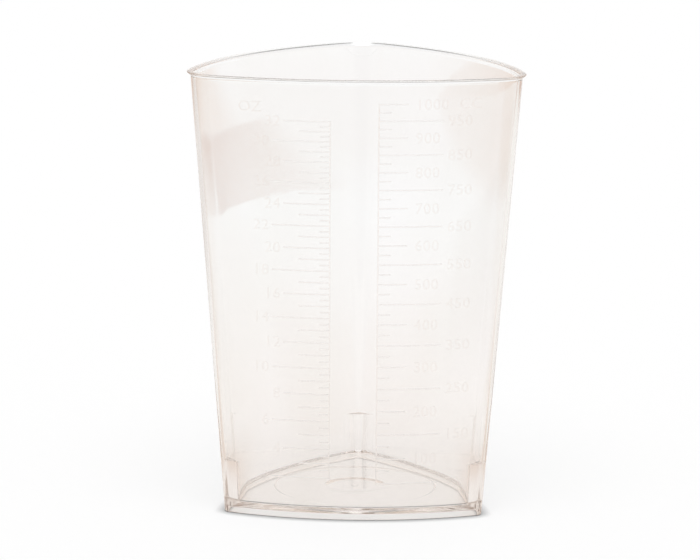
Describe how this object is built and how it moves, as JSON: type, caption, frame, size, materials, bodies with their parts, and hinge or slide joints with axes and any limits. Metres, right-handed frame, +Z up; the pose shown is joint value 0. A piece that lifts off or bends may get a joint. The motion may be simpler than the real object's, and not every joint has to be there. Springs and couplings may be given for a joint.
{
  "type": "graduated container",
  "caption": "Clear triangular one-litre measuring beaker with rounded pouring corners, stacking lugs, a lifted floor and raised ounce and cc scales.",
  "frame": {"origin": "on the surface that the beaker stands on, in the middle of its bounding box", "axes": "+Z up to the mouth, -Y out of the side with the two scales, +Y towards the third corner"},
  "size_m": [0.1186, 0.1158, 0.1583],
  "materials": {
    "clear_polystyrene": "clear, polished mould finish",
    "raised_marks": "clear, the same moulding as the wall"
  },
  "bodies": {
    "root": {"beaker_body": "clear_polystyrene", "ounce_scale": "raised_marks", "cc_scale": "raised_marks"}
  },
  "joints": []
}
